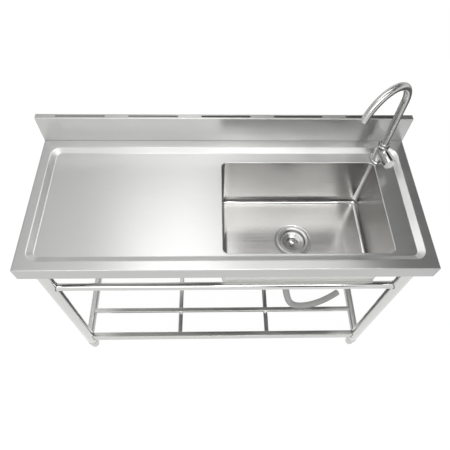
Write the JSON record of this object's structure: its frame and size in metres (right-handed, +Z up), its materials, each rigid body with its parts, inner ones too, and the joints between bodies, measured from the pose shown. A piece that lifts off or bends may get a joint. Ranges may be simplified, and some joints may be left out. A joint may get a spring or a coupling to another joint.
{
  "type": "freestanding utility sink",
  "caption": "Freestanding stainless utility sink with a drainboard on the left, a deep bowl on the right, a backsplash, a gooseneck tap, a basket strainer and a slatted undershelf.",
  "frame": {"origin": "on the floor, below the middle of the worktop", "axes": "+X along the worktop towards the bowl, -Y to the front, +Z up"},
  "size_m": [1.2, 0.5, 1.137],
  "materials": {
    "pressed_steel": "satin",
    "drawn_steel": "satin",
    "galvanised_steel": "matte",
    "steel_tube": "polished",
    "foot_steel": "satin",
    "insert_plastic": "matte",
    "fastener_steel": "satin",
    "strainer_steel": "polished",
    "waste_plastic": "satin",
    "seal_rubber": "matte",
    "tap_chrome": "polished",
    "tap_brass": "satin",
    "hose_plastic": "satin"
  },
  "bodies": {
    "frame": {"backsplash": "pressed_steel", "bowl": "drawn_steel", "cartridge_nut": "tap_brass", "channel_left": "galvanised_steel", "channel_right": "galvanised_steel", "coupling_nut": "waste_plastic", "drain_hose": "hose_plastic", "front_rail": "steel_tube", "hose_clamp": "fastener_steel", "leg_front_left": "steel_tube", "leg_front_right": "steel_tube", "leg_insert_front_left": "insert_plastic", "leg_insert_front_right": "insert_plastic", "leg_insert_rear_left": "insert_plastic", "leg_insert_rear_right": "insert_plastic", "leg_rear_left": "steel_tube", "leg_rear_right": "steel_tube", "leg_socket_front_left": "galvanised_steel", "leg_socket_front_right": "galvanised_steel", "leg_socket_rear_left": "galvanised_steel", "leg_socket_rear_right": "galvanised_steel", "shelf_crossbar_left": "steel_tube", "shelf_crossbar_right": "steel_tube", "shelf_rail_front": "steel_tube", "shelf_rail_rear": "steel_tube", "shelf_side_left": "steel_tube", "shelf_side_right": "steel_tube", "shelf_slat_1": "steel_tube", "shelf_slat_2": "steel_tube", "shelf_slat_3": "steel_tube", "socket_screws": "fastener_steel", "splash_end_left": "pressed_steel", "splash_end_right": "pressed_steel", "spout_collar": "tap_chrome", "strainer_body": "strainer_steel", "strainer_gasket": "seal_rubber", "strainer_locknut": "waste_plastic", "tailpiece": "waste_plastic", "tap_base": "tap_chrome", "tap_body": "tap_chrome", "tap_gasket": "seal_rubber", "tap_locknut": "tap_brass", "tap_shank": "tap_brass", "tap_washer": "fastener_steel", "valve_cartridge": "tap_brass", "worktop": "pressed_steel"},
    "spout": {"tap_spout": "tap_chrome", "aerator": "tap_chrome"},
    "handle": {"tap_handle": "tap_chrome", "valve_spindle": "tap_brass", "handle_screw": "fastener_steel", "handle_cap": "tap_chrome"},
    "basket": {"strainer_basket": "strainer_steel", "basket_knob": "strainer_steel", "basket_seal": "seal_rubber"},
    "adjuster_front_left": {"foot_front_left": "foot_steel"},
    "adjuster_rear_left": {"foot_rear_left": "foot_steel"},
    "adjuster_front_right": {"foot_front_right": "foot_steel"},
    "adjuster_rear_right": {"foot_rear_right": "foot_steel"}
  },
  "joints": [
    {"name": "spout_swivel", "type": "hinge", "parent": "frame", "child": "spout", "pos_m": [0.502, 0.157, 0.85], "axis": [0, 0, 1], "continuous": true},
    {"name": "handle_turn", "type": "hinge", "parent": "frame", "child": "handle", "pos_m": [0.502, 0.157, 0.836], "axis": [0.225, -0.9744, 0], "range_deg": [0, 90]},
    {"name": "basket_lift", "type": "slide", "parent": "frame", "child": "basket", "axis": [0, 0, 1], "range_m": [0, 0.06]},
    {"name": "level_front_left", "type": "slide", "parent": "frame", "child": "adjuster_front_left", "axis": [0, 0, -1], "range_m": [0, 0.02]},
    {"name": "level_rear_left", "type": "slide", "parent": "frame", "child": "adjuster_rear_left", "axis": [0, 0, -1], "range_m": [0, 0.02]},
    {"name": "level_front_right", "type": "slide", "parent": "frame", "child": "adjuster_front_right", "axis": [0, 0, -1], "range_m": [0, 0.02]},
    {"name": "level_rear_right", "type": "slide", "parent": "frame", "child": "adjuster_rear_right", "axis": [0, 0, -1], "range_m": [0, 0.02]}
  ]
}
